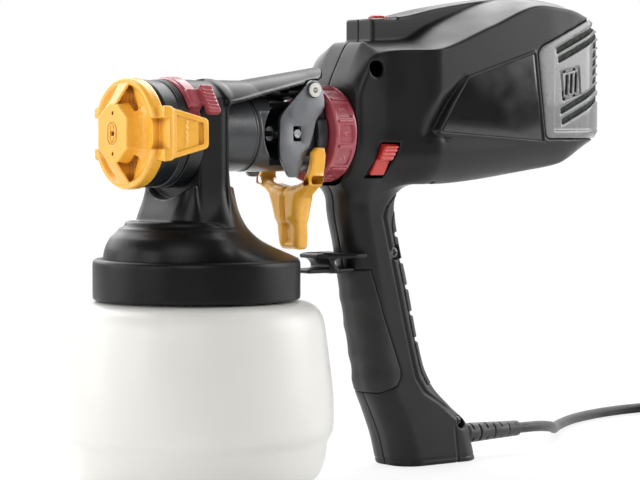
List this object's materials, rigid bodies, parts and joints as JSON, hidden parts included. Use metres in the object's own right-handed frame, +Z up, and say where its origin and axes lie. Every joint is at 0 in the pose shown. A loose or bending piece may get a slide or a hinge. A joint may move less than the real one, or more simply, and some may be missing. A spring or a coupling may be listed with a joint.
{
  "type": "turbine cup paint sprayer",
  "caption": "Handheld electric paint sprayer with a screw-on cup, air cap nozzle, finger trigger, turbine housing above a pistol grip, and a coiled cord.",
  "frame": {"origin": "centre of the cup's flat base, on the surface that the sprayer stands on", "axes": "+Z up along the cup's axis, -X the way the nozzle points, -Y the side with the power rocker"},
  "size_m": [0.5897, 0.1735, 0.2689],
  "materials": {
    "cup_white": "smooth, slightly translucent off-white plastic",
    "charcoal": "fine satin charcoal plastic",
    "slate": "satin slate grey plastic",
    "plate_grey": "grey painted sheet steel",
    "black_trim": "dark glossy trim",
    "grey_cover": "satin mid-grey plastic",
    "yellow": "glossy golden yellow plastic",
    "red": "glossy red plastic",
    "rubber_black": "soft black rubber",
    "seal_rubber": "soft seal rubber",
    "tube_clear": "milky plastic tube",
    "steel": "plain steel",
    "brass": "turned brass",
    "packing": "white packing plastic",
    "alu": "pressed aluminium",
    "core": "laminated iron core",
    "winding": "varnished copper winding over an iron core",
    "carbon": "carbon brush and holder",
    "foam": "open filter foam",
    "cord_black": "black cord jacket"
  },
  "bodies": {
    "cup": {"cup": "cup_white"},
    "seal": {"lid_seal": "seal_rubber"},
    "head": {"lid": "charcoal", "frame": "charcoal", "barrel": "slate", "valve_body": "slate", "rear_spigot": "charcoal", "fluid_tip": "brass", "suction_tube": "tube_clear", "tube_socket": "slate", "air_valve": "tube_clear", "needle_packing": "packing", "packing_nut": "brass", "union_ring": "charcoal", "tip_seal": "seal_rubber", "pivot_pin": "steel", "spigot_seal": "seal_rubber", "needle_spring": "steel"},
    "needle_rod": {"needle": "steel", "cross_pin": "steel"},
    "trigger": {"trigger": "yellow", "trigger_plates": "plate_grey"},
    "air_cap": {"air_cap": "yellow"},
    "width_ring": {"width_ring": "red"},
    "flow_ring": {"flow_ring": "red"},
    "handle": {"housing_near": "charcoal", "housing_far": "charcoal", "panel_near": "black_trim", "panel_far": "black_trim", "outlet_duct": "slate", "volute": "alu", "diffuser": "alu", "motor_field": "core", "motor_brackets": "alu", "motor_bearings": "steel", "carbon_brushes": "carbon", "air_filter": "foam", "switch_body": "black_trim", "grip_front": "rubber_black", "grip_rear": "rubber_black", "finger_guard": "charcoal", "housing_screws": "steel", "strain_relief": "cord_black", "cord_run": "cord_black", "cord_coil": "cord_black", "plug_body": "cord_black", "plug_blades": "steel", "button_spring": "steel"},
    "rotor": {"armature": "winding", "motor_shaft": "steel", "fan_front": "alu", "fan_rear": "alu"},
    "rear_cover": {"rear_cover": "grey_cover"},
    "power_rocker": {"power_rocker": "red"},
    "release_button": {"release_button": "red"}
  },
  "joints": [
    {"name": "cup_turn", "type": "hinge", "parent": "cup", "child": "seal", "pos_m": [0, 0, 0.115], "axis": [0, 0, 1], "range_deg": [0, 450]},
    {"name": "cup_lift", "type": "slide", "parent": "seal", "child": "head", "axis": [0, 0, 1], "range_m": [0, 0.13]},
    {"name": "trigger_pull", "type": "hinge", "parent": "head", "child": "trigger", "pos_m": [0.0638, 0, 0.2109], "axis": [0, -1, 0], "range_deg": [0, 6], "stiffness_Nm_per_rad": 1.7, "springref_deg": -8.59},
    {"name": "needle_slide", "type": "slide", "parent": "head", "child": "needle_rod", "axis": [1, 0, 0], "range_m": [0, 0.0026], "deforming": ["needle_spring"]},
    {"name": "air_cap_turn", "type": "hinge", "parent": "head", "child": "air_cap", "pos_m": [-0.046, 0, 0.1874], "axis": [1, 0, 0], "range_deg": [0, 90]},
    {"name": "width_ring_turn", "type": "hinge", "parent": "head", "child": "width_ring", "pos_m": [-0.018, 0, 0.1874], "axis": [1, 0, 0], "range_deg": [-25, 11]},
    {"name": "flow_ring_turn", "type": "hinge", "parent": "head", "child": "flow_ring", "pos_m": [0.08, 0, 0.1874], "axis": [1, 0, 0], "range_deg": [0, 120]},
    {"name": "handle_detach", "type": "slide", "parent": "head", "child": "handle", "axis": [1, 0, 0], "range_m": [0, 0.05]},
    {"name": "rotor_spin", "type": "hinge", "parent": "handle", "child": "rotor", "pos_m": [0.15, 0, 0.2119], "axis": [1, 0, 0], "continuous": true},
    {"name": "cover_pull", "type": "slide", "parent": "handle", "child": "rear_cover", "axis": [1, 0, 0], "range_m": [0, 0.05]},
    {"name": "rocker_tip", "type": "hinge", "parent": "handle", "child": "power_rocker", "pos_m": [0.107, -0.0225, 0.1729], "axis": [1, 0, 0], "range_deg": [0, 8]},
    {"name": "button_press", "type": "slide", "parent": "handle", "child": "release_button", "axis": [0, 0, -1], "range_m": [0, 0.0015], "stiffness_N_per_m": 400, "springref_m": -0.002, "deforming": ["button_spring"]}
  ],
  "couplings": [
    {"joint": "needle_slide", "follows": "trigger_pull", "m_per_rad": 0.0235}
  ]
}
